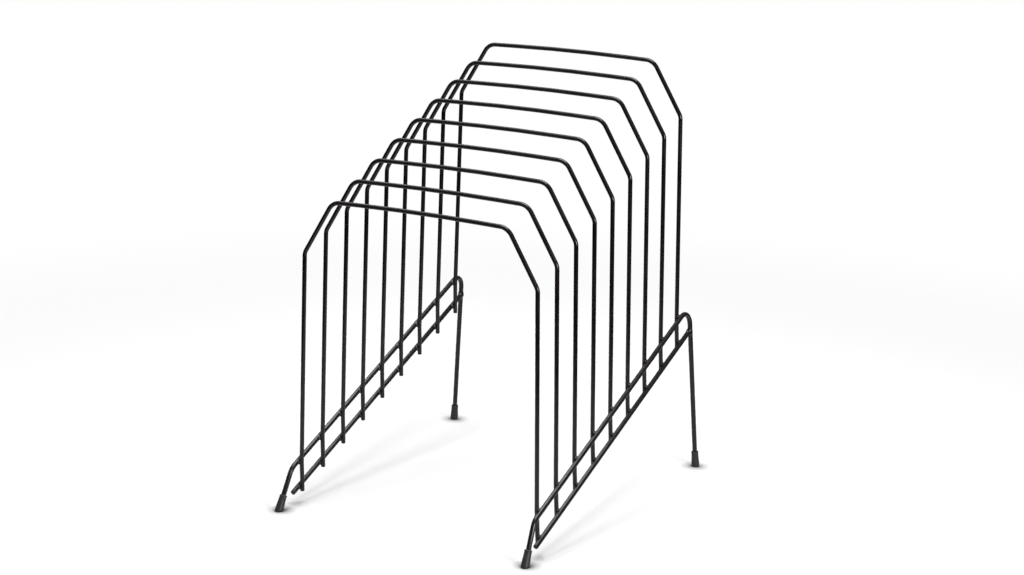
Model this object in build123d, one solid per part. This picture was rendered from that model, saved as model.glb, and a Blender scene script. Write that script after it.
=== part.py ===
from build123d import *
from math import atan2, cos, radians, sin, tan
import os

# Desk-top incline file sorter of welded steel wire. Nine upright hoops step up and back along a pair
# of rails on each side, so that files stand in the slots between them. Millimetres. +X is to the
# sorter's right, +Y to its back, +Z up. The origin lies on the desk, midway between the feet.

# Wire
hoop_wire = 3.2              # diameter of the hoops' wire
frame_wire = 3.7             # diameter of the side frames' and lower rails' wire
cut_end_chamfer = 0.4        # broken edge of a sheared wire end
weld_setdown = 0.5           # how far two crossing wires are pressed into each other
crossing_flash = 0.4         # bead's reach past the hoop wire's radius at a crossing
end_flash = 0.9              # bead's reach past the rail's radius at a rear leg

# Row of hoops
hoop_count = 9
hoop_pitch = 27.0            # from one hoop back to the next
hoop_rise = 11.0             # from one hoop up to the next
rail_rise = 11.3             # rails' climb from one hoop to the next
first_rail_height = 32.7     # upper rail's centre above the desk at the first hoop

# One hoop, measured from its toe bends. The upper rails cross the first hoop's legs there and the
# later hoops' legs a little higher.
hoop_width = 198.0           # between the legs' centres
hoop_height = 198.0          # up to the top bar's ends
leg_splay = 1.22             # degrees that each leg leans outward on its way down
chamfer_width = 24.2         # sloping shoulder, inward
chamfer_drop = 39.8          # sloping shoulder, downward
shoulder_bend = 9.0          # bend radius, leg to slope
top_bend = 11.0              # bend radius, slope to top bar
crown_slope = 1.5            # degrees that each half of the top bar rises to its middle
crown_bend = 1800.0          # bend radius, middle of the top bar
toe_angle = 3.5              # degrees that a leg turns back below its toe bend
toe_bend = 12.0              # bend radius
rail_spacing = 20.0          # from upper to lower rail, down the first hoop's leg
leg_tail = 3.6               # first hoop's leg end past the lower rail's centre

# Side frames, each bent from one wire: front leg, upper rail and rear leg
front_straight = 4.8         # straight rail ahead of the first hoop
front_knee_bend = 12.0       # bend radius
front_leg_lean = 26.8        # degrees forward on the way down
front_leg_spread = 2.8       # degrees outward on the way down
rear_straight = 2.4          # straight rail behind the last hoop
rear_knee_bend = 10.0        # bend radius
rear_leg_lean = 2.2          # degrees backward on the way down
rear_leg_spread = 3.8        # degrees outward on the way down
lower_rail_lead = 7.0        # lower rail's sheared end, ahead of the first hoop
lower_rail_bite = 0.25       # how far its other end is let into the rear leg

# Foot caps, moulded tubes with a closed foot
cap_length = 12.2            # along the leg, from the desk
cap_mouth_wall = 0.9         # wall around the wire at the mouth
cap_foot_wall = 1.35         # wall around the wire at the desk
cap_floor = 2.5              # thickness under the wire's end
cap_lip_round = 0.4          # rounding of the mouth
cap_foot_round = 0.8         # rounding of the foot

# Worked-out sizes
hoop_radius = hoop_wire / 2
frame_radius = frame_wire / 2
crossing_offset = hoop_radius + frame_radius - weld_setdown
upper_rail_x = hoop_width / 2 + crossing_offset
row_depth = (hoop_count - 1) * hoop_pitch
rail_angle = atan2(rail_rise, hoop_pitch)
rail_climb = Vector(0, cos(rail_angle), sin(rail_angle))
first_crossing = Vector(0, 0, first_rail_height)
hoop_steps = [Pos(0, i * hoop_pitch, i * hoop_rise) for i in range(hoop_count)]


def rounded_path(points, bends):
    """Centre line through the points, each inner corner turned at its bend radius."""
    edges = []
    last = points[0]
    for before, corner, after, bend in zip(points, points[1:], points[2:], bends):
        into = (corner - before).normalized()
        out_of = (after - corner).normalized()
        half_turn = radians(into.get_angle(out_of)) / 2
        reach = bend * tan(half_turn)
        sagitta = bend * (1 / cos(half_turn) - 1)
        start = corner - into * reach
        end = corner + out_of * reach
        edges.append(Line(last, start))
        edges.append(ThreePointArc(start, corner + (out_of - into).normalized() * sagitta, end))
        last = end
    edges.append(Line(last, points[-1]))
    return Wire(edges)


def wire_along(path, diameter):
    """Round wire on a centre line, both ends sheared square with a broken edge."""
    rod = sweep(Plane(origin=path @ 0, z_dir=path % 0) * Circle(diameter / 2), path=path)
    return chamfer(rod.faces().filter_by(GeomType.PLANE).edges(), cut_end_chamfer)


def toward(start, end, distance):
    """Point at a distance from start on the way to end."""
    return start + (end - start).normalized() * distance


def leg_point(side, below):
    """Centre of a hoop's leg at a distance down it from its toe bend, or up it where below is negative."""
    out = hoop_width / 2 + below * tan(radians(leg_splay))
    turn = radians(toe_angle) if below > 0 else 0
    return Vector(side * out, below * sin(turn), -below * cos(turn))


def crossing_below(step_number, spacing):
    """Distance down a hoop's leg to a rail that crosses the first hoop's leg at the spacing."""
    turn = radians(toe_angle) if spacing > 0 else 0
    gain = step_number * (rail_rise - hoop_rise)
    return spacing - gain / (cos(turn) + tan(rail_angle) * sin(turn))


def hoop_path():
    """Centre line of one hoop, from the left leg's tail over the top to the right one's."""
    shoulder_height = hoop_height - chamfer_drop
    shoulder_x = hoop_width / 2 - shoulder_height * tan(radians(leg_splay))
    corner_x = shoulder_x - chamfer_width
    crown_rise = corner_x * tan(radians(crown_slope))
    half = [leg_point(1, rail_spacing + leg_tail), leg_point(1, 0),
            Vector(shoulder_x, 0, shoulder_height), Vector(corner_x, 0, hoop_height)]
    mirrored = [Vector(-point.X, point.Y, point.Z) for point in half]
    bends = [toe_bend, shoulder_bend, top_bend]
    points = mirrored + [Vector(0, 0, hoop_height + crown_rise)] + half[::-1]
    return rounded_path(points, bends + [crown_bend] + bends[::-1])


def leg_down(side, lean, spread):
    """Direction of a frame's leg toward its foot; lean is backward, spread outward, in degrees."""
    return Vector(side * tan(radians(spread)), tan(radians(lean)), -1).normalized()


def knee_reach(rail_away, leg, straight, bend):
    """Distance along the rail from a hoop to the corner where the rail turns into a leg."""
    return straight + bend * tan(radians(rail_away.get_angle(leg)) / 2)


def side_frame_corners(side):
    """Front foot, front knee, rear knee and rear foot of a side frame's centre line."""
    front_leg = leg_down(side, -front_leg_lean, front_leg_spread)
    rear_leg = leg_down(side, rear_leg_lean, rear_leg_spread)
    rail_front = first_crossing + Vector(side * upper_rail_x, 0, 0)
    rail_rear = rail_front + rail_climb * (row_depth / cos(rail_angle))
    front_reach = knee_reach(-rail_climb, front_leg, front_straight, front_knee_bend)
    rear_reach = knee_reach(rail_climb, rear_leg, rear_straight, rear_knee_bend)
    front_knee = rail_front - rail_climb * front_reach
    rear_knee = rail_rear + rail_climb * rear_reach
    front_foot = front_knee - front_leg * (front_knee.Z / front_leg.Z)
    rear_foot = rear_knee - rear_leg * (rear_knee.Z / rear_leg.Z)
    return front_foot, front_knee, rear_knee, rear_foot


def side_frame(side):
    """Front leg, upper rail and rear leg, bent from one wire."""
    front_foot, front_knee, rear_knee, rear_foot = side_frame_corners(side)
    points = [toward(front_foot, front_knee, cap_floor), front_knee,
              rear_knee, toward(rear_foot, rear_knee, cap_floor)]
    return wire_along(rounded_path(points, [front_knee_bend, rear_knee_bend]), frame_wire)


def lower_rail_ends(side):
    """Sheared front end, and rear end let into the rear leg, of a lower rail's centre line."""
    crossing = first_crossing + leg_point(side, rail_spacing) + Vector(side * crossing_offset, 0, 0)
    rear_knee, rear_foot = side_frame_corners(side)[2:]
    leg_lean = (rear_foot.Y - rear_knee.Y) / rear_knee.Z
    climb = tan(rail_angle)
    height_at_hoop = crossing.Z - crossing.Y * climb
    leg_y = (rear_foot.Y - leg_lean * height_at_hoop) / (1 + leg_lean * climb)
    front = crossing - rail_climb * ((crossing.Y + lower_rail_lead) / cos(rail_angle))
    leg_centre = crossing + rail_climb * ((leg_y - crossing.Y) / cos(rail_angle))
    return front, toward(leg_centre, front, frame_radius - lower_rail_bite)


def foot_cap(foot, knee, frame):
    """Tapered push-on cap over a leg's end, flat where it stands on the desk."""
    axis = (knee - foot).normalized()
    mouth_radius = frame_radius + cap_mouth_wall
    foot_radius = frame_radius + cap_foot_wall
    buried = 2 * foot_radius
    buried_radius = foot_radius + (foot_radius - mouth_radius) * buried / cap_length
    cap = Plane(origin=foot - axis * buried, z_dir=axis) * Cone(
        buried_radius, mouth_radius, cap_length + buried,
        align=(Align.CENTER, Align.CENTER, Align.MIN))
    cap = fillet(cap.edges().sort_by(Axis.Z)[-1], cap_lip_round)
    cap = split(cap, bisect_by=Plane.XY, keep=Keep.TOP)
    cap = fillet(cap.edges().group_by(Axis.Z)[0], cap_foot_round)
    return cap - frame


def bead(centre, radius, *wires):
    """Weld bead around the place where wires touch, without the wires themselves."""
    ball = Pos(*centre) * Sphere(radius)
    for wire in wires:
        ball = ball - wire
    return ball


def crossing_beads(side, spacing, hoop, rail):
    """One bead at every hoop, where its leg crosses a rail."""
    outward = Vector(side * (hoop_radius - weld_setdown / 2), 0, 0)
    beads = []
    for i, step in enumerate(hoop_steps):
        contact = first_crossing + leg_point(side, crossing_below(i, spacing)) + outward
        beads.append(bead(step.position + contact, hoop_radius + crossing_flash, step * hoop, rail))
    return Compound(beads)


# The row is modelled from the first hoop back, then moved so that the origin lies midway
front_foot_y = side_frame_corners(1)[0].Y
rear_foot_y = side_frame_corners(1)[3].Y
on_desk = Pos(0, -(front_foot_y + rear_foot_y) / 2, 0)


def save(name, shape):
    placed = on_desk * shape
    placed.label = name
    export_step(placed, f"parts/{name}.step")


os.makedirs("parts", exist_ok=True)
hoop = Pos(*first_crossing) * wire_along(hoop_path(), hoop_wire)
rails = []
for side, word in ((-1, "left"), (1, "right")):
    front_foot, front_knee, rear_knee, rear_foot = side_frame_corners(side)
    rail_front, rail_rear = lower_rail_ends(side)
    frame = side_frame(side)
    lower_rail = wire_along(Wire([Line(rail_front, rail_rear)]), frame_wire) - frame
    rails += [frame, lower_rail]
    save(f"side_frame_{word}", frame)
    save(f"lower_rail_{word}", lower_rail)
    save(f"foot_cap_front_{word}", foot_cap(front_foot, front_knee, frame))
    save(f"foot_cap_rear_{word}", foot_cap(rear_foot, rear_knee, frame))
    save(f"upper_rail_welds_{word}", crossing_beads(side, 0, hoop, frame))
    save(f"lower_rail_welds_{word}", crossing_beads(side, rail_spacing, hoop, lower_rail))
    save(f"rear_leg_weld_{word}", bead(rail_rear, frame_radius + end_flash, frame, lower_rail))

for i, step in enumerate(hoop_steps):
    save(f"divider_hoop_{i + 1}", step * hoop - rails)
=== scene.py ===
from math import cos, pi, radians, sin, tan

import bmesh
import bpy
from mathutils import Matrix, Vector, noise


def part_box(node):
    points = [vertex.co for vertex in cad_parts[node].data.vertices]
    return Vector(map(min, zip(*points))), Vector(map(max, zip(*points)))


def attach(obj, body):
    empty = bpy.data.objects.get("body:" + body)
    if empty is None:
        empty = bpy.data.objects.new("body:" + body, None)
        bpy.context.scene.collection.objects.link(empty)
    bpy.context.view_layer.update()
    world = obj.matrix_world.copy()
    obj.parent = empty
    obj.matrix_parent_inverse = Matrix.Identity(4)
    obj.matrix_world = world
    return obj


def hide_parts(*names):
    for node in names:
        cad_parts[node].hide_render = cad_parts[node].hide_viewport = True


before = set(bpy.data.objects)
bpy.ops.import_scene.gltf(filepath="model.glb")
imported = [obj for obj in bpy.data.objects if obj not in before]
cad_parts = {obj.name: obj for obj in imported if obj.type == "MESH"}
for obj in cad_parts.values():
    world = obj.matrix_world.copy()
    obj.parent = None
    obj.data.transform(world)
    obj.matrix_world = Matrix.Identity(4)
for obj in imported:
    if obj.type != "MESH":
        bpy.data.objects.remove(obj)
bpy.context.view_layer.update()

bl_info = {
    "name": "Wire File Sorter",
    "version": (1, 0, 0),
    "blender": (4, 5, 0),
    "location": "3D View > Sidebar > Sorter",
    "description": "Builds a desk-top incline file sorter of bent and welded wire, and a stage",
    "category": "Add Mesh",
}

SIDES = ((-1, "left"), (1, "right"))
SAME_PLACE = 1e-7            # vertices closer than this are one
BEND_STEP = radians(4)       # turn of a wire from one ring of vertices to the next
HOOP_NODES = sorted((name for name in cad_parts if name.startswith("divider_hoop_")),
                    key=lambda name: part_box(name)[0].y)

# Lengths of wire beside a crossing that a weld fillet is drawn onto
LEG_ABOVE_WELD = 0.05
RAIL_BESIDE_WELD = 0.006
RAIL_BEFORE_REAR_LEG = 0.012

DUST_COLOUR = (0.30, 0.29, 0.28)

# Name, setting with its power, side, place and aim of each square softbox
SOFTBOXES = (
    ("overhead_softbox", "overhead", 0.9, (0.0, 0.0, 1.50), (0.0, 0.0, 0.0)),
    ("left_softbox", "left", 0.5, (-0.80, 0.43, 1.42), (0.0, 0.0, 0.12)),
    ("right_softbox", "right", 0.35, (1.05, -0.42, 0.42), (0.0, 0.0, 0.05)),
)


# ---------------------------------------------------------------- settings

class SorterWireSettings(bpy.types.PropertyGroup):
    """Sizes of the hoops, side frames and lower rails, and how finely they are drawn."""
    hoop_wire: bpy.props.FloatProperty(
        name="Hoop wire", description="Diameter of the hoops' wire",
        default=0.0032, min=0.001, unit="LENGTH")
    frame_wire: bpy.props.FloatProperty(
        name="Frame wire", description="Diameter of the side frames' and lower rails' wire",
        default=0.0037, min=0.001, unit="LENGTH")
    setdown: bpy.props.FloatProperty(
        name="Weld set-down", description="How far two crossing wires are pressed into each other",
        default=0.0005, min=0.0, unit="LENGTH")
    hoop_width: bpy.props.FloatProperty(
        name="Hoop width", description="Between the centres of a hoop's legs at their toe bends",
        default=0.198, min=0.05, unit="LENGTH")
    hoop_height: bpy.props.FloatProperty(
        name="Hoop height", description="From the toe bends up to the top bar's ends",
        default=0.198, min=0.05, unit="LENGTH")
    rail_rise: bpy.props.FloatProperty(
        name="Rail rise", description="Rails' climb from one hoop to the next",
        default=0.0113, unit="LENGTH")
    leg_splay: bpy.props.FloatProperty(
        name="Leg splay", description="Outward lean of a hoop's leg on its way down",
        default=radians(1.22), unit="ROTATION")
    chamfer_width: bpy.props.FloatProperty(
        name="Shoulder width", description="Sloping shoulder, inward", default=0.0242, unit="LENGTH")
    chamfer_drop: bpy.props.FloatProperty(
        name="Shoulder drop", description="Sloping shoulder, downward", default=0.0398, unit="LENGTH")
    shoulder_bend: bpy.props.FloatProperty(
        name="Shoulder bend", description="Bend radius from leg to slope", default=0.009, unit="LENGTH")
    top_bend: bpy.props.FloatProperty(
        name="Top bend", description="Bend radius from slope to top bar", default=0.011, unit="LENGTH")
    crown_slope: bpy.props.FloatProperty(
        name="Crown slope", description="Rise of each half of the top bar to its middle",
        default=radians(1.5), unit="ROTATION")
    crown_bend: bpy.props.FloatProperty(
        name="Crown bend", description="Bend radius at the middle of the top bar",
        default=1.8, unit="LENGTH")
    toe_angle: bpy.props.FloatProperty(
        name="Toe angle", description="Backward turn of a leg below its toe bend",
        default=radians(3.5), unit="ROTATION")
    toe_bend: bpy.props.FloatProperty(
        name="Toe bend", description="Bend radius near the upper rail", default=0.012, unit="LENGTH")
    rail_spacing: bpy.props.FloatProperty(
        name="Rail spacing", description="From upper to lower rail, down the first hoop's leg",
        default=0.020, unit="LENGTH")
    leg_tail: bpy.props.FloatProperty(
        name="Leg tail", description="First hoop's leg end past the lower rail's centre",
        default=0.0036, unit="LENGTH")
    front_straight: bpy.props.FloatProperty(
        name="Front straight", description="Straight rail ahead of the first hoop",
        default=0.0048, unit="LENGTH")
    front_knee_bend: bpy.props.FloatProperty(
        name="Front knee bend", description="Bend radius of the front knee", default=0.012, unit="LENGTH")
    front_lean: bpy.props.FloatProperty(
        name="Front leg lean", description="Forward lean on the way down",
        default=radians(26.8), unit="ROTATION")
    front_spread: bpy.props.FloatProperty(
        name="Front leg spread", description="Outward lean on the way down",
        default=radians(2.8), unit="ROTATION")
    rear_straight: bpy.props.FloatProperty(
        name="Rear straight", description="Straight rail behind the last hoop",
        default=0.0024, unit="LENGTH")
    rear_knee_bend: bpy.props.FloatProperty(
        name="Rear knee bend", description="Bend radius of the rear knee", default=0.010, unit="LENGTH")
    rear_lean: bpy.props.FloatProperty(
        name="Rear leg lean", description="Backward lean on the way down",
        default=radians(2.2), unit="ROTATION")
    rear_spread: bpy.props.FloatProperty(
        name="Rear leg spread", description="Outward lean on the way down",
        default=radians(3.8), unit="ROTATION")
    rail_lead: bpy.props.FloatProperty(
        name="Lower rail lead", description="Lower rail's sheared end, ahead of the first hoop",
        default=0.007, unit="LENGTH")
    rail_bite: bpy.props.FloatProperty(
        name="Lower rail bite", description="How far its other end is let into the rear leg",
        default=0.00025, unit="LENGTH")
    end_round: bpy.props.FloatProperty(
        name="End rounding", description="Paint-softened edge of a sheared end",
        default=0.0004, unit="LENGTH")
    sides: bpy.props.IntProperty(
        name="Sides", description="Faces around a wire", default=28, min=8, max=64)


class SorterWeldSettings(bpy.types.PropertyGroup):
    """Sizes of the painted-over weld fillets."""
    reach: bpy.props.FloatProperty(
        name="Reach", description="Radius of one fillet piece around its crossing",
        default=0.0032, unit="LENGTH")
    fillet: bpy.props.FloatProperty(
        name="Fillet", description="How widely metal and paint round the crotch of two wires",
        default=0.0016, unit="LENGTH")
    end_reach: bpy.props.FloatProperty(
        name="End reach", description="Radius of the piece where a lower rail butts a rear leg",
        default=0.00384, unit="LENGTH")
    end_fillet: bpy.props.FloatProperty(
        name="End fillet", description="Fillet's width where a lower rail butts a rear leg",
        default=0.0026, unit="LENGTH")
    lumps: bpy.props.FloatProperty(
        name="Lumps", description="Height of the weld's unevenness", default=0.00013, unit="LENGTH")


class SorterCapSettings(bpy.types.PropertyGroup):
    """Sizes of the push-on foot caps."""
    length: bpy.props.FloatProperty(
        name="Length", description="Along the leg, from the desk", default=0.0122, unit="LENGTH")
    floor: bpy.props.FloatProperty(
        name="Floor", description="Thickness under the wire's end", default=0.0025, unit="LENGTH")
    mouth_wall: bpy.props.FloatProperty(
        name="Mouth wall", description="Wall around the wire at the mouth", default=0.0009, unit="LENGTH")
    foot_wall: bpy.props.FloatProperty(
        name="Foot wall", description="Wall around the wire at the desk", default=0.00127, unit="LENGTH")
    lip: bpy.props.FloatProperty(
        name="Lip", description="Height of the rolled lip at the mouth", default=0.0009, unit="LENGTH")
    foot_round: bpy.props.FloatProperty(
        name="Foot rounding", description="Rounding where the cap meets the desk",
        default=0.0014, unit="LENGTH")
    sides: bpy.props.IntProperty(
        name="Sides", description="Faces around a cap", default=56, min=16, max=96)


class SorterFinishSettings(bpy.types.PropertyGroup):
    """Colours and gloss of the enamel and the caps."""
    enamel: bpy.props.FloatVectorProperty(
        name="Enamel", description="Colour of the black enamel", subtype="COLOR", size=3,
        default=(0.0075, 0.0048, 0.0054), min=0.0, max=1.0)
    enamel_gloss: bpy.props.FloatProperty(
        name="Enamel roughness", description="Roughness of the enamel where it is smoothest",
        default=0.14, min=0.0, max=1.0, subtype="FACTOR")
    vinyl: bpy.props.FloatVectorProperty(
        name="Vinyl", description="Colour of the foot caps", subtype="COLOR", size=3,
        default=(0.021, 0.0175, 0.0185), min=0.0, max=1.0)
    vinyl_gloss: bpy.props.FloatProperty(
        name="Vinyl roughness", description="Roughness of the caps where they are smoothest",
        default=0.36, min=0.0, max=1.0, subtype="FACTOR")
    dust: bpy.props.FloatProperty(
        name="Dust", description="Amount of fine dust on faces that look up",
        default=0.05, min=0.0, max=1.0, subtype="FACTOR")


class SorterStageSettings(bpy.types.PropertyGroup):
    """Floor, lights and camera."""
    floor_size: bpy.props.FloatProperty(
        name="Floor size", description="Side of the square floor", default=2.4, unit="LENGTH")
    floor_colour: bpy.props.FloatVectorProperty(
        name="Floor colour", description="Colour of the plain floor", subtype="COLOR", size=3,
        default=(0.88, 0.88, 0.88), min=0.0, max=1.0)
    fill: bpy.props.FloatProperty(
        name="Fill", description="Brightness of the room overhead", default=0.30, min=0.0)
    overhead: bpy.props.FloatProperty(
        name="Overhead softbox", description="Power in watts", default=20.5, min=0.0)
    left: bpy.props.FloatProperty(
        name="Left softbox", description="Power in watts", default=3.6, min=0.0)
    right: bpy.props.FloatProperty(
        name="Right softbox", description="Power in watts", default=6.0, min=0.0)
    distance: bpy.props.FloatProperty(
        name="Camera distance", description="From the camera to the point it looks at",
        default=1.6389, unit="LENGTH")
    lens: bpy.props.FloatProperty(
        name="Lens", description="Focal length on a 36 mm wide sensor, in millimetres", default=77.71)
    azimuth: bpy.props.FloatProperty(
        name="Azimuth", description="Turn of the camera to the sorter's right",
        default=radians(29.445), unit="ROTATION")
    elevation: bpy.props.FloatProperty(
        name="Elevation", description="Height of the camera above the level",
        default=radians(14.337), unit="ROTATION")
    roll: bpy.props.FloatProperty(
        name="Roll", description="Tilt of the camera about its own axis",
        default=radians(1.164), unit="ROTATION")
    look_at: bpy.props.FloatVectorProperty(
        name="Look at", description="Point in the middle of the view", subtype="TRANSLATION", size=3,
        default=(0.01156, 0.00689, 0.15633))


# ---------------------------------------------------------------- places

def crown_height(wire):
    """Rise of the top bar's middle above its ends, after the middle is rounded."""
    half_bar = hoop_corner_x(wire)
    peak = half_bar * tan(wire.crown_slope)
    return peak - wire.crown_bend * (1 / cos(wire.crown_slope) - 1)


def shoulder_height(wire):
    return wire.hoop_height - wire.chamfer_drop


def hoop_corner_x(wire):
    """Half the top bar, out to the corner between bar and slope."""
    return wire.hoop_width / 2 - shoulder_height(wire) * tan(wire.leg_splay) - wire.chamfer_width


def toe_middle(hoop_node, wire):
    """Point midway between the toe bends of a hoop's two legs."""
    low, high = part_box(hoop_node)
    height = high.z - wire.hoop_wire / 2 - wire.hoop_height - crown_height(wire)
    return Vector((0, low.y + wire.hoop_wire / 2, height))


def row_depth(wire):
    """From the first hoop back to the last."""
    return toe_middle(HOOP_NODES[-1], wire).y - toe_middle(HOOP_NODES[0], wire).y


def rail_climb(wire):
    """Direction of the rails, up and back."""
    return Vector((0, row_depth(wire), (len(HOOP_NODES) - 1) * wire.rail_rise)).normalized()


def leg_point(side, below, wire):
    """Centre of a leg at a distance down it from its toe bend, or up it where below is negative."""
    out = wire.hoop_width / 2 + below * tan(wire.leg_splay)
    turn = wire.toe_angle if below > 0 else 0.0
    return Vector((side * out, below * sin(turn), -below * cos(turn)))


def crossing_below(name, spacing, wire):
    """Distance down a hoop's leg to a rail that crosses the first hoop's leg at the spacing."""
    hoop = toe_middle(name, wire) - toe_middle(HOOP_NODES[0], wire)
    climb = rail_climb(wire)
    turn = wire.toe_angle if spacing > 0 else 0.0
    gain = hoop.y * climb.z / climb.y - hoop.z
    return spacing - gain / (cos(turn) + sin(turn) * climb.z / climb.y)


def crossing_offset(wire):
    """Between the centres of a leg and a rail that are pressed together."""
    return (wire.hoop_wire + wire.frame_wire) / 2 - wire.setdown


def leg_down(side, lean, spread):
    """Direction of a frame's leg toward its foot."""
    return Vector((side * tan(spread), tan(lean), -1)).normalized()


def frame_corners(side, wire):
    """Front foot, front knee, rear knee and rear foot of a side frame's centre line."""
    climb = rail_climb(wire)
    outward = Vector((side * (wire.hoop_width / 2 + crossing_offset(wire)), 0, 0))
    front_leg = leg_down(side, -wire.front_lean, wire.front_spread)
    rear_leg = leg_down(side, wire.rear_lean, wire.rear_spread)
    front_reach = wire.front_straight + wire.front_knee_bend * tan((-climb).angle(front_leg) / 2)
    rear_reach = wire.rear_straight + wire.rear_knee_bend * tan(climb.angle(rear_leg) / 2)
    rail_front = toe_middle(HOOP_NODES[0], wire) + outward
    front_knee = rail_front - climb * front_reach
    rear_knee = rail_front + climb * (row_depth(wire) / climb.y + rear_reach)
    front_foot = front_knee - front_leg * (front_knee.z / front_leg.z)
    rear_foot = rear_knee - rear_leg * (rear_knee.z / rear_leg.z)
    return front_foot, front_knee, rear_knee, rear_foot


def toward(start, end, distance):
    """Point at a distance from start on the way to end."""
    return start + (end - start).normalized() * distance


def lower_rail_ends(side, wire):
    """Sheared front end, and rear end let into the rear leg, of a lower rail's centre line."""
    climb = rail_climb(wire)
    first = toe_middle(HOOP_NODES[0], wire)
    outward = Vector((side * crossing_offset(wire), 0, 0))
    cross = first + leg_point(side, wire.rail_spacing, wire) + outward
    rear_knee, rear_foot = frame_corners(side, wire)[2:]
    leg = rear_foot - rear_knee
    rail_y = cross.y + (rear_knee.z - cross.z) * climb.y / climb.z
    share = (rail_y - rear_knee.y) / (leg.y - leg.z * climb.y / climb.z)
    leg_centre_y = rear_knee.y + share * leg.y
    front = cross - climb * ((cross.y - first.y + wire.rail_lead) / climb.y)
    leg_centre = cross + climb * ((leg_centre_y - cross.y) / climb.y)
    return front, toward(leg_centre, front, wire.frame_wire / 2 - wire.rail_bite)


# ---------------------------------------------------------------- node groups and materials

def number_in(group, name, value):
    """Input of a node group, with its default."""
    socket = group.interface.new_socket(name=name, in_out="INPUT", socket_type="NodeSocketFloat")
    socket.default_value = value


def number_out(group, name):
    """Output of a node group."""
    group.interface.new_socket(name=name, in_out="OUTPUT", socket_type="NodeSocketFloat")


def node(tree, kind, label, inputs=None, **values):
    """Shader node with its settings, and the constants of its input sockets."""
    made = tree.nodes.new(kind)
    made.label = label
    for key, value in values.items():
        setattr(made, key, value)
    for key, value in (inputs or {}).items():
        made.inputs[key].default_value = value
    return made


def ramp_stop(ramp, index, position, colour):
    stop = ramp.color_ramp.elements[index]
    stop.position = position
    stop.color = (*colour, 1.0)


def flowed_skin_group():
    """Height and gloss variation of a flowed coat: broad flow with a finer pebble on it."""
    name = "flowed skin"
    if name in bpy.data.node_groups:
        return bpy.data.node_groups[name]
    tree = bpy.data.node_groups.new(name, "ShaderNodeTree")
    number_in(tree, "Flow Scale", 260.0)
    number_in(tree, "Pebble Scale", 1500.0)
    number_in(tree, "Pebble Share", 0.35)
    number_out(tree, "Height")
    number_out(tree, "Dull Patches")
    inputs = node(tree, "NodeGroupInput", "settings")
    outputs = node(tree, "NodeGroupOutput", "results")
    place = node(tree, "ShaderNodeTexCoord", "place on the object")
    flow = node(tree, "ShaderNodeTexNoise", "flow", {"Detail": 2.0})
    pebble = node(tree, "ShaderNodeTexNoise", "pebble", {"Detail": 1.0})
    patches = node(tree, "ShaderNodeTexNoise", "patches", {"Detail": 4.0, "Scale": 46.0, "Roughness": 0.6})
    blend = node(tree, "ShaderNodeMix", "flow with pebble", data_type="FLOAT")
    spread = node(tree, "ShaderNodeMapRange", "spread", {"From Min": 0.35, "From Max": 0.68})
    link = tree.links.new
    for texture in (flow, pebble, patches):
        link(place.outputs["Object"], texture.inputs["Vector"])
    link(inputs.outputs["Flow Scale"], flow.inputs["Scale"])
    link(inputs.outputs["Pebble Scale"], pebble.inputs["Scale"])
    link(inputs.outputs["Pebble Share"], blend.inputs["Factor"])
    link(flow.outputs["Fac"], blend.inputs["A"])
    link(pebble.outputs["Fac"], blend.inputs["B"])
    link(patches.outputs["Fac"], spread.inputs["Value"])
    link(blend.outputs["Result"], outputs.inputs["Height"])
    link(spread.outputs["Result"], outputs.inputs["Dull Patches"])
    return tree


def settled_dust_group():
    """Mask of fine dust: faces that look up, broken into specks and thin films."""
    name = "settled dust"
    if name in bpy.data.node_groups:
        return bpy.data.node_groups[name]
    tree = bpy.data.node_groups.new(name, "ShaderNodeTree")
    number_in(tree, "Amount", 0.1)
    number_in(tree, "Speck Scale", 2400.0)
    number_out(tree, "Mask")
    inputs = node(tree, "NodeGroupInput", "settings")
    outputs = node(tree, "NodeGroupOutput", "results")
    place = node(tree, "ShaderNodeTexCoord", "place on the object")
    facing = node(tree, "ShaderNodeNewGeometry", "facing")
    apart = node(tree, "ShaderNodeSeparateXYZ", "upward share")
    upward = node(tree, "ShaderNodeMapRange", "faces that look up", {"From Min": 0.25, "From Max": 1.0})
    specks = node(tree, "ShaderNodeTexNoise", "specks", {"Detail": 3.0})
    sparse = node(tree, "ShaderNodeMapRange", "sparse specks", {"From Min": 0.52, "From Max": 0.80})
    times = node(tree, "ShaderNodeMath", "where both hold", operation="MULTIPLY")
    share = node(tree, "ShaderNodeMath", "by amount", operation="MULTIPLY")
    link = tree.links.new
    link(facing.outputs["Normal"], apart.inputs["Vector"])
    link(apart.outputs["Z"], upward.inputs["Value"])
    link(place.outputs["Object"], specks.inputs["Vector"])
    link(inputs.outputs["Speck Scale"], specks.inputs["Scale"])
    link(specks.outputs["Fac"], sparse.inputs["Value"])
    link(upward.outputs["Result"], times.inputs[0])
    link(sparse.outputs["Result"], times.inputs[1])
    link(times.outputs["Value"], share.inputs[0])
    link(inputs.outputs["Amount"], share.inputs[1])
    link(share.outputs["Value"], outputs.inputs["Mask"])
    return tree


def lighter(colour, factor):
    return tuple(min(1.0, part * factor) for part in colour)


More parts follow.
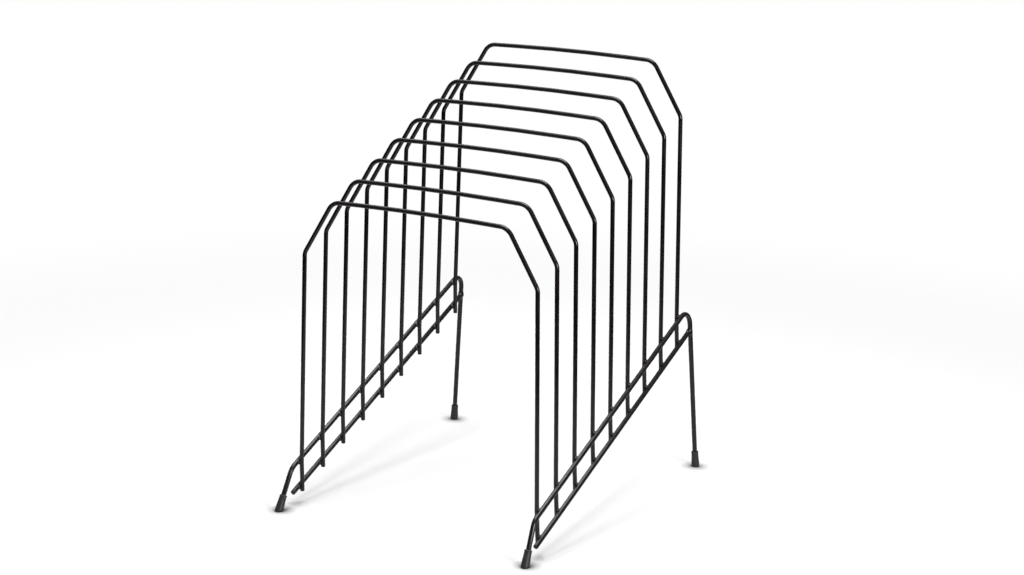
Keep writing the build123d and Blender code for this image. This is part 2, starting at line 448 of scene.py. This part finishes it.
def coated_material(name, colour, thin_coat, gloss, dulling, bump, flow, pebble, share, dust):
    """
    A coated surface: flowed skin in colour, gloss and height, under a little dust.

    thin_coat is how much lighter the colour is where the coat is thin, dulling how much rougher the
    dullest patch is, bump the skin's height in metres, flow and pebble its two noise scales, and
    share the pebble's part of it.
    """
    if name in bpy.data.materials:
        return bpy.data.materials[name]
    material = bpy.data.materials.new(name)
    material.use_nodes = True
    material.diffuse_color = (*colour, 1.0)
    tree = material.node_tree
    shader = tree.nodes["Principled BSDF"]
    skin = node(tree, "ShaderNodeGroup", "skin", node_tree=flowed_skin_group())
    skin.inputs["Flow Scale"].default_value = flow
    skin.inputs["Pebble Scale"].default_value = pebble
    skin.inputs["Pebble Share"].default_value = share
    film = node(tree, "ShaderNodeGroup", "dust", node_tree=settled_dust_group())
    film.inputs["Amount"].default_value = dust
    tone = node(tree, "ShaderNodeMix", "thick and thin coat",
                {"A": (*colour, 1.0), "B": (*lighter(colour, thin_coat), 1.0)}, data_type="RGBA")
    dusty = node(tree, "ShaderNodeMix", "dust over coat", {"B": (*DUST_COLOUR, 1.0)}, data_type="RGBA")
    sheen = node(tree, "ShaderNodeMapRange", "gloss range", {"To Min": gloss, "To Max": gloss + dulling})
    relief = node(tree, "ShaderNodeBump", "skin relief", {"Strength": 1.0, "Distance": bump})
    link = tree.links.new
    link(skin.outputs["Dull Patches"], tone.inputs["Factor"])
    link(tone.outputs["Result"], dusty.inputs["A"])
    link(film.outputs["Mask"], dusty.inputs["Factor"])
    link(dusty.outputs["Result"], shader.inputs["Base Color"])
    link(skin.outputs["Dull Patches"], sheen.inputs["Value"])
    link(sheen.outputs["Result"], shader.inputs["Roughness"])
    link(skin.outputs["Height"], relief.inputs["Height"])
    link(relief.outputs["Normal"], shader.inputs["Normal"])
    shader.inputs["Metallic"].default_value = 0.0
    shader.inputs["IOR"].default_value = 1.5
    return material


def gloss_enamel():
    """Gloss black enamel on drawn wire."""
    finish = bpy.context.scene.sorter_finish
    return coated_material(
        "gloss black enamel", tuple(finish.enamel), thin_coat=1.7, gloss=finish.enamel_gloss, dulling=0.12,
        bump=0.000016, flow=260.0, pebble=900.0, share=0.2, dust=finish.dust)


def enamel_over_weld():
    """The same enamel where it covers a weld, a little rougher and lumpier."""
    finish = bpy.context.scene.sorter_finish
    return coated_material(
        "black enamel over weld", tuple(finish.enamel), thin_coat=1.9, gloss=finish.enamel_gloss + 0.05,
        dulling=0.17, bump=0.00006, flow=480.0, pebble=1300.0, share=0.35, dust=finish.dust)


def soft_vinyl():
    """Satin near-black vinyl of the foot caps."""
    finish = bpy.context.scene.sorter_finish
    return coated_material(
        "soft black vinyl", tuple(finish.vinyl), thin_coat=1.5, gloss=finish.vinyl_gloss, dulling=0.20,
        bump=0.00006, flow=380.0, pebble=2600.0, share=0.6, dust=finish.dust * 1.5)


# ---------------------------------------------------------------- modelling helpers

def finish_piece(bm, name, material, slot, *nodes):
    """Cleans the mesh, makes its object under the root body and hides the CAD nodes that it stands for."""
    bmesh.ops.remove_doubles(bm, verts=bm.verts, dist=SAME_PLACE)
    bmesh.ops.recalc_face_normals(bm, faces=bm.faces)
    for face in bm.faces:
        face.smooth = True
    mesh = bpy.data.meshes.new(name)
    bm.to_mesh(mesh)
    bm.free()
    mesh.materials.append(material)
    piece = bpy.data.objects.new(name, mesh)
    bpy.context.scene.collection.objects.link(piece)
    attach(piece, "root")
    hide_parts(*nodes)
    return piece


def upright_to(direction):
    """Rotation that turns +Z to a direction."""
    return direction.to_track_quat("Z", "Y").to_matrix().to_4x4()


class BentWire:
    """Round wire, made as on a bending machine: fed straight, then turned about a bend's centre."""

    def __init__(self, bm, start, direction, diameter, sides):
        self.bm = bm
        self.radius = diameter / 2
        self.at = start.copy()
        self.direction = direction.normalized()
        place = Matrix.Translation(start) @ upright_to(self.direction)
        made = bmesh.ops.create_circle(bm, segments=sides, radius=self.radius, matrix=place)
        self.first = self.ring_of(made["verts"])
        self.ring = self.first

    @staticmethod
    def ring_of(verts):
        chosen = set(verts)
        return [edge for edge in {e for v in verts for e in v.link_edges} if set(edge.verts) <= chosen]

    def feed(self, length):
        """Straight run."""
        grown = bmesh.ops.extrude_edge_only(self.bm, edges=self.ring)["geom"]
        verts = [part for part in grown if isinstance(part, bmesh.types.BMVert)]
        bmesh.ops.translate(self.bm, vec=self.direction * length, verts=verts)
        self.ring = self.ring_of(verts)
        self.at += self.direction * length

    def bend(self, new_direction, bend_radius, steps):
        """Turn to a new direction at a bend radius."""
        axis = self.direction.cross(new_direction).normalized()
        angle = self.direction.angle(new_direction)
        centre = self.at + axis.cross(self.direction) * bend_radius
        spun = bmesh.ops.spin(self.bm, geom=self.ring, cent=centre, axis=axis, angle=angle, steps=steps,
                              use_merge=False, use_duplicate=False)["geom_last"]
        self.ring = [part for part in spun if isinstance(part, bmesh.types.BMEdge)]
        self.at = centre + Matrix.Rotation(angle, 3, axis) @ (self.at - centre)
        self.direction = new_direction.normalized()

    def shear_ends(self, rounding):
        """Both ends closed flat, with a paint-softened edge."""
        for ring in (self.first, self.ring):
            bmesh.ops.edgeloop_fill(self.bm, edges=ring)
            bmesh.ops.bevel(self.bm, geom=ring, offset=rounding, offset_type="OFFSET", segments=4,
                            profile=0.5, affect="EDGES", material=-1, clamp_overlap=True)


def bent_along(bm, points, bends, diameter, sides, rounding):
    """Wire through the points, each inner corner turned at its bend radius."""
    direction = (points[1] - points[0]).normalized()
    wire = BentWire(bm, points[0], direction, diameter, sides)
    for corner, after, bend_radius in zip(points[1:], points[2:], bends):
        new_direction = (after - corner).normalized()
        half_turn = wire.direction.angle(new_direction) / 2
        reach = bend_radius * tan(half_turn)
        wire.feed((corner - wire.at).length - reach)
        wire.bend(new_direction, bend_radius, max(3, round(half_turn * 2 / BEND_STEP)))
    wire.feed((points[-1] - wire.at).length)
    wire.shear_ends(rounding)


def rod_distance(point, start, end, radius):
    """Distance from a point to a round rod's surface, below zero inside it."""
    along = end - start
    share = max(0.0, min(1.0, (point - start).dot(along) / along.length_squared))
    return (point - start - along * share).length - radius


def wire_distances(point, wires):
    """Distances from a point to each wire's surface; a wire is a list of rods."""
    return [min(rod_distance(point, *rod) for rod in rods) for rods in wires]


def filleted_distance(point, wires, fillet):
    """Distance to two wires that are run together with a fillet."""
    first, second = wire_distances(point, wires)
    overlap = max(fillet - abs(first - second), 0.0) / fillet
    return min(first, second) - overlap * overlap * fillet / 4


def weld_fillet(bm, contact, wires, reach, fillet, lumps):
    """Ball around a crossing, drawn in until it lies on the two wires run together."""
    sunk = 0.00002
    halvings = 12
    lump_scale = 900.0
    made = bmesh.ops.create_icosphere(bm, subdivisions=4, radius=reach, matrix=Matrix.Translation(contact))
    for vert in made["verts"]:
        ray = vert.co - contact
        near, far = 0.0, 1.0
        for _ in range(halvings):
            middle = (near + far) / 2
            if filleted_distance(contact + ray * middle, wires, fillet) < -sunk:
                near = middle
            else:
                far = middle
        spot = contact + ray * near
        depth = filleted_distance(spot, wires, fillet) + sunk
        first, second = wire_distances(spot, wires)
        crotch = max(0.0, 1.0 - abs(first - second) / fillet)
        bump = noise.noise(spot * lump_scale) * lumps * crotch
        vert.co = spot + ray.normalized() * (bump if depth > -sunk else 0.0)


# ---------------------------------------------------------------- pieces

class SORTER_OT_divider_hoops(bpy.types.Operator):
    """Bends the divider hoops: tails, legs, sloping shoulders and a crowned top bar."""
    bl_idname = "sorter.divider_hoops"
    bl_label = "Divider Hoops"

    def execute(self, context):
        wire = context.scene.sorter_wires
        shoulder_x = wire.hoop_width / 2 - shoulder_height(wire) * tan(wire.leg_splay)
        half = [leg_point(1, wire.rail_spacing + wire.leg_tail, wire),
                leg_point(1, 0.0, wire),
                Vector((shoulder_x, 0, shoulder_height(wire))),
                Vector((hoop_corner_x(wire), 0, wire.hoop_height))]
        peak = Vector((0, 0, wire.hoop_height + hoop_corner_x(wire) * tan(wire.crown_slope)))
        mirrored = [Vector((-point.x, point.y, point.z)) for point in half]
        half_bends = [wire.toe_bend, wire.shoulder_bend, wire.top_bend]
        bends = half_bends + [wire.crown_bend] + half_bends[::-1]
        for name in HOOP_NODES:
            middle = toe_middle(name, wire)
            points = [middle + point for point in mirrored + [peak] + half[::-1]]
            bm = bmesh.new()
            bent_along(bm, points, bends, wire.hoop_wire, wire.sides, wire.end_round)
            finish_piece(bm, "hoop_wire_" + name.rsplit("_", 1)[1], gloss_enamel(), "enamelled_wire", name)
        return {"FINISHED"}


class SORTER_OT_side_frames(bpy.types.Operator):
    """Bends each side frame: front leg, upper rail and rear leg in one wire."""
    bl_idname = "sorter.side_frames"
    bl_label = "Side Frames"

    def execute(self, context):
        wire = context.scene.sorter_wires
        cap = context.scene.sorter_caps
        for side, word in SIDES:
            front_foot, front_knee, rear_knee, rear_foot = frame_corners(side, wire)
            points = [toward(front_foot, front_knee, cap.floor), front_knee,
                      rear_knee, toward(rear_foot, rear_knee, cap.floor)]
            bm = bmesh.new()
            bent_along(bm, points, [wire.front_knee_bend, wire.rear_knee_bend], wire.frame_wire,
                       wire.sides, wire.end_round)
            finish_piece(bm, f"side_frame_wire_{word}", gloss_enamel(), "enamelled_wire",
                         f"side_frame_{word}")
        return {"FINISHED"}


class SORTER_OT_lower_rails(bpy.types.Operator):
    """Cuts the straight lower rails."""
    bl_idname = "sorter.lower_rails"
    bl_label = "Lower Rails"

    def execute(self, context):
        wire = context.scene.sorter_wires
        for side, word in SIDES:
            front, rear = lower_rail_ends(side, wire)
            bm = bmesh.new()
            bent_along(bm, [front, rear], [], wire.frame_wire, wire.sides, wire.end_round)
            finish_piece(bm, f"lower_rail_wire_{word}", gloss_enamel(), "enamelled_wire",
                         f"lower_rail_{word}")
        return {"FINISHED"}


class SORTER_OT_weld_fillets(bpy.types.Operator):
    """Draws the painted-over weld fillets at every crossing and at the rear legs."""
    bl_idname = "sorter.weld_fillets"
    bl_label = "Weld Fillets"

    def crossing_fillets(self, bm, side, spacing, wire, weld):
        """One fillet at every hoop, where its leg crosses a rail."""
        climb = rail_climb(wire)
        bend = leg_point(side, 0.0, wire)
        tail = leg_point(side, wire.rail_spacing + wire.leg_tail, wire)
        head = leg_point(side, -LEG_ABOVE_WELD, wire)
        for name in HOOP_NODES:
            middle = toe_middle(name, wire)
            leg_centre = middle + leg_point(side, crossing_below(name, spacing, wire), wire)
            rail_centre = leg_centre + Vector((side * crossing_offset(wire), 0, 0))
            contact = leg_centre + Vector((side * (wire.hoop_wire - wire.setdown) / 2, 0, 0))
            leg = [(middle + bend, middle + end, wire.hoop_wire / 2) for end in (tail, head)]
            along = climb * RAIL_BESIDE_WELD
            rail = [(rail_centre - along, rail_centre + along, wire.frame_wire / 2)]
            weld_fillet(bm, contact, (leg, rail), weld.reach, weld.fillet, weld.lumps)

    def execute(self, context):
        wire = context.scene.sorter_wires
        weld = context.scene.sorter_welds
        for side, word in SIDES:
            for level, spacing in (("upper", 0.0), ("lower", wire.rail_spacing)):
                bm = bmesh.new()
                self.crossing_fillets(bm, side, spacing, wire, weld)
                finish_piece(bm, f"{level}_rail_fillets_{word}", enamel_over_weld(), "enamelled_wire",
                             f"{level}_rail_welds_{word}")
            front, rear = lower_rail_ends(side, wire)
            rear_knee, rear_foot = frame_corners(side, wire)[2:]
            bm = bmesh.new()
            radius = wire.frame_wire / 2
            rail = [(toward(rear, front, RAIL_BEFORE_REAR_LEG), rear, radius)]
            wires_met = (rail, [(rear_knee, rear_foot, radius)])
            weld_fillet(bm, rear, wires_met, weld.end_reach, weld.end_fillet, weld.lumps)
            finish_piece(bm, f"rear_leg_fillet_{word}", enamel_over_weld(), "enamelled_wire",
                         f"rear_leg_weld_{word}")
        return {"FINISHED"}


class SORTER_OT_foot_caps(bpy.types.Operator):
    """Turns the tapered foot caps, tips them to their legs and cuts them flat on the desk."""
    bl_idname = "sorter.foot_caps"
    bl_label = "Foot Caps"

    def profile(self, wire, cap, buried):
        """Half section from the buried end up the outside, over the lip and into the bore."""
        wire_radius = wire.frame_wire / 2
        mouth = wire_radius + cap.mouth_wall
        foot = wire_radius + cap.foot_wall
        taper = (foot - mouth) / cap.length
        grip = cap.length * 0.40
        waist = cap.length * 0.62
        waist_radius = foot - taper * waist - 0.00012
        under_lip = cap.length - cap.lip * 1.6
        lip_bottom = cap.length - cap.lip
        lip_shoulder = cap.length - cap.lip * 0.35
        bore_bottom = cap.length - 0.0015
        outside = [(0.0, -buried), (foot + taper * buried, -buried), (foot - taper * grip, grip),
                   (waist_radius, waist), (mouth - 0.00006, under_lip)]
        lip = [(mouth + 0.00004, lip_bottom), (mouth, lip_shoulder), (mouth - 0.0002, cap.length - 0.00006),
               (mouth - 0.0004, cap.length), (wire_radius + 0.00008, cap.length - 0.0002)]
        bore = [(wire_radius - 0.0001, bore_bottom), (0.0, bore_bottom)]
        return outside + lip + bore

    def turned_cap(self, wire, cap):
        """The cap as a turned body standing on +Z, with its two mould seams."""
        seam_height = 0.00007
        clear_of_bore = 0.0003
        bm = bmesh.new()
        section = self.profile(wire, cap, wire.frame_wire * 1.5)
        chain = [bm.verts.new((radius, 0, height)) for radius, height in section]
        edges = [bm.edges.new(pair) for pair in zip(chain, chain[1:])]
        bmesh.ops.spin(bm, geom=chain + edges, cent=(0, 0, 0), axis=(0, 0, 1), angle=2 * pi,
                       steps=cap.sides, use_merge=True, use_duplicate=False)
        bmesh.ops.remove_doubles(bm, verts=bm.verts, dist=SAME_PLACE)
        for seam in (1, -1):
            ridge = [v for v in bm.verts if abs(v.co.y) < 1e-6 and v.co.x * seam > 0.0001]
            outside = [v for v in ridge if abs(v.co.x) > wire.frame_wire / 2 + clear_of_bore]
            bmesh.ops.translate(bm, vec=(seam * seam_height, 0, 0), verts=outside)
        return bm

    def stand_on_desk(self, bm, foot, knee, rounding):
        """Tips the cap to its leg, cuts it flat at the desk and rounds the rim."""
        place = Matrix.Translation(foot) @ upright_to((knee - foot).normalized())
        bmesh.ops.transform(bm, matrix=place, verts=bm.verts)
        cut = bmesh.ops.bisect_plane(bm, geom=bm.verts[:] + bm.edges[:] + bm.faces[:], dist=SAME_PLACE,
                                     plane_co=(0, 0, 0), plane_no=(0, 0, 1), clear_inner=True)
        rim = [part for part in cut["geom_cut"] if isinstance(part, bmesh.types.BMEdge)]
        bmesh.ops.edgeloop_fill(bm, edges=rim)
        bmesh.ops.bevel(bm, geom=rim, offset=rounding, offset_type="OFFSET", segments=6,
                        profile=0.5, affect="EDGES", material=-1, clamp_overlap=True)

    def execute(self, context):
        wire = context.scene.sorter_wires
        cap = context.scene.sorter_caps
        for side, word in SIDES:
            front_foot, front_knee, rear_knee, rear_foot = frame_corners(side, wire)
            for place, foot, knee in (("front", front_foot, front_knee), ("rear", rear_foot, rear_knee)):
                bm = self.turned_cap(wire, cap)
                self.stand_on_desk(bm, foot, knee, cap.foot_round)
                finish_piece(bm, f"moulded_cap_{place}_{word}", soft_vinyl(), "foot_cap",
                             f"foot_cap_{place}_{word}")
        return {"FINISHED"}


class SORTER_OT_stage(bpy.types.Operator):
    """Lays a plain pale floor, sets soft studio light and places the camera."""
    bl_idname = "sorter.stage"
    bl_label = "Floor, Lights and Camera"

    def floor(self, stage):
        """White desk: evenly white where seen, apart from a painted shade under the feet, and flagged off
        beyond arm's length in the gloss.
        """
        bm = bmesh.new()
        bmesh.ops.create_grid(bm, x_segments=1, y_segments=1, size=stage.floor_size / 2)
        mesh = bpy.data.meshes.new("desk_floor")
        bm.to_mesh(mesh)
        bm.free()
        material = bpy.data.materials.new("plain pale floor")
        material.use_nodes = True
        tree = material.node_tree
        tree.nodes.remove(tree.nodes["Principled BSDF"])
        output = tree.nodes["Material Output"]
        place = node(tree, "ShaderNodeTexCoord", "place on the floor")
        reach = node(tree, "ShaderNodeVectorMath", "distance from the sorter", operation="LENGTH")
        far = node(tree, "ShaderNodeMapRange", "far floor", {"From Min": 0.30, "From Max": 0.95},
                   interpolation_type="SMOOTHSTEP")
        flags = node(tree, "ShaderNodeValToRGB", "near white, then flagged")
        ramp_stop(flags, 0, 0.0, (0.50, 0.50, 0.50))
        ramp_stop(flags, 1, 0.30, (0.012, 0.012, 0.012))
        # Painted shade: ambient occlusion darkens the desk's colour around the caps and under the low wire
        # ends, in place of their contact shadows
        corners = node(tree, "ShaderNodeAmbientOcclusion", "painted shade under the feet", {"Distance": 0.010})
        deepened = node(tree, "ShaderNodeGamma", "deepened shade", {"Gamma": 3.2})
        tinted = node(tree, "ShaderNodeMix", "on the desk's colour",
                      {"Factor": 1.0, "B": (*stage.floor_colour, 1.0)},
                      data_type="RGBA", blend_type="MULTIPLY")
        seen = node(tree, "ShaderNodeBsdfDiffuse", "desk as seen")
        blank = node(tree, "ShaderNodeEmission", "blank white")
        faded = node(tree, "ShaderNodeMixShader", "desk fading to blank white")
        mirrored = node(tree, "ShaderNodeBsdfDiffuse", "desk in the gloss")
        paths = node(tree, "ShaderNodeLightPath", "seen directly")
        both = node(tree, "ShaderNodeMixShader", "seen or mirrored")
        link = tree.links.new
        link(place.outputs["Object"], reach.inputs[0])
        link(reach.outputs["Value"], far.inputs["Value"])
        link(far.outputs["Result"], flags.inputs["Fac"])
        link(flags.outputs["Color"], mirrored.inputs["Color"])
        link(corners.outputs["Color"], deepened.inputs["Color"])
        link(deepened.outputs["Color"], tinted.inputs["A"])
        link(tinted.outputs["Result"], seen.inputs["Color"])
        link(far.outputs["Result"], faded.inputs["Fac"])
        link(seen.outputs["BSDF"], faded.inputs[1])
        link(blank.outputs["Emission"], faded.inputs[2])
        link(paths.outputs["Is Camera Ray"], both.inputs["Fac"])
        link(mirrored.outputs["BSDF"], both.inputs[1])
        link(faded.outputs["Shader"], both.inputs[2])
        link(both.outputs["Shader"], output.inputs["Surface"])
        mesh.materials.append(material)
        floor = bpy.data.objects.new("desk_floor", mesh)
        bpy.context.scene.collection.objects.link(floor)

    def surroundings(self, stage):
        """Blank white where seen; for the gloss and the fill, a dim room with a paler ceiling."""
        world = bpy.data.worlds.new("studio")
        world.use_nodes = True
        bpy.context.scene.world = world
        tree = world.node_tree
        background = tree.nodes["Background"]
        place = node(tree, "ShaderNodeTexCoord", "direction")
        apart = node(tree, "ShaderNodeSeparateXYZ", "height")
        ramp = node(tree, "ShaderNodeValToRGB", "from horizon to ceiling")
        ramp_stop(ramp, 0, 0.0, (0.10 * stage.fill,) * 3)
        ramp_stop(ramp, 1, 0.7, (stage.fill,) * 3)
        paths = node(tree, "ShaderNodeLightPath", "seen directly")
        seen = node(tree, "ShaderNodeMix", "blank where seen", {"B": (1.0, 1.0, 1.0, 1.0)}, data_type="RGBA")
        link = tree.links.new
        link(place.outputs["Generated"], apart.inputs["Vector"])
        link(apart.outputs["Z"], ramp.inputs["Fac"])
        link(ramp.outputs["Color"], seen.inputs["A"])
        link(paths.outputs["Is Camera Ray"], seen.inputs["Factor"])
        link(seen.outputs["Result"], background.inputs["Color"])

    def softbox(self, name, power, size, place, aim):
        """Square soft light, hidden from the camera."""
        data = bpy.data.lights.new(name, "AREA")
        data.shape = "SQUARE"
        data.size = size
        data.energy = power
        lamp = bpy.data.objects.new(name, data)
        bpy.context.scene.collection.objects.link(lamp)
        lamp.location = place
        lamp.rotation_euler = (Vector(place) - Vector(aim)).to_track_quat("Z", "Y").to_euler()
        lamp.visible_camera = False

    def camera(self, stage):
        """Camera turned about the point it looks at."""
        data = bpy.data.cameras.new("studio_camera")
        data.sensor_width = 36.0
        data.lens = stage.lens
        data.clip_start = 0.05
        data.clip_end = 200.0
        camera = bpy.data.objects.new("studio_camera", data)
        bpy.context.scene.collection.objects.link(camera)
        level = Vector((sin(stage.azimuth), -cos(stage.azimuth), 0))
        back = level * cos(stage.elevation) + Vector((0, 0, sin(stage.elevation)))
        aim = back.to_track_quat("Z", "Y")
        roll = Matrix.Rotation(stage.roll, 4, "Z")
        camera.matrix_world = (Matrix.Translation(Vector(stage.look_at) + back * stage.distance)
                               @ aim.to_matrix().to_4x4() @ roll)
        bpy.context.scene.camera = camera

    def execute(self, context):
        stage = context.scene.sorter_stage
        self.floor(stage)
        self.surroundings(stage)
        for name, setting, size, place, aim in SOFTBOXES:
            self.softbox(name, getattr(stage, setting), size, place, aim)
        self.camera(stage)
        context.scene.view_settings.view_transform = "Standard"
        return {"FINISHED"}


class SORTER_PT_sidebar(bpy.types.Panel):
    """Sidebar panel that lists the sorter's operators and sizes."""
    bl_idname = "SORTER_PT_sidebar"
    bl_label = "Wire File Sorter"
    bl_space_type = "VIEW_3D"
    bl_region_type = "UI"
    bl_category = "Sorter"

    def draw(self, context):
        for operator in OPERATORS:
            self.layout.operator(operator.bl_idname)
        for name in SETTINGS:
            group = getattr(context.scene, name)
            box = self.layout.box()
            for key in group.bl_rna.properties.keys():
                if key not in ("rna_type", "name"):
                    box.prop(group, key)


SETTINGS = {
    "sorter_wires": SorterWireSettings,
    "sorter_welds": SorterWeldSettings,
    "sorter_caps": SorterCapSettings,
    "sorter_finish": SorterFinishSettings,
    "sorter_stage": SorterStageSettings,
}
OPERATORS = (
    SORTER_OT_divider_hoops,
    SORTER_OT_side_frames,
    SORTER_OT_lower_rails,
    SORTER_OT_weld_fillets,
    SORTER_OT_foot_caps,
    SORTER_OT_stage,
)


def register():
    for group in SETTINGS.values():
        bpy.utils.register_class(group)
    for name, group in SETTINGS.items():
        setattr(bpy.types.Scene, name, bpy.props.PointerProperty(type=group))
    for operator in OPERATORS:
        bpy.utils.register_class(operator)
    bpy.utils.register_class(SORTER_PT_sidebar)


def unregister():
    bpy.utils.unregister_class(SORTER_PT_sidebar)
    for operator in reversed(OPERATORS):
        bpy.utils.unregister_class(operator)
    for name in SETTINGS:
        delattr(bpy.types.Scene, name)
    for group in reversed(SETTINGS.values()):
        bpy.utils.unregister_class(group)


def main():
    register()
    for operator in OPERATORS:
        family, name = operator.bl_idname.split(".")
        getattr(getattr(bpy.ops, family), name)()


if __name__ == "__main__":
    main()
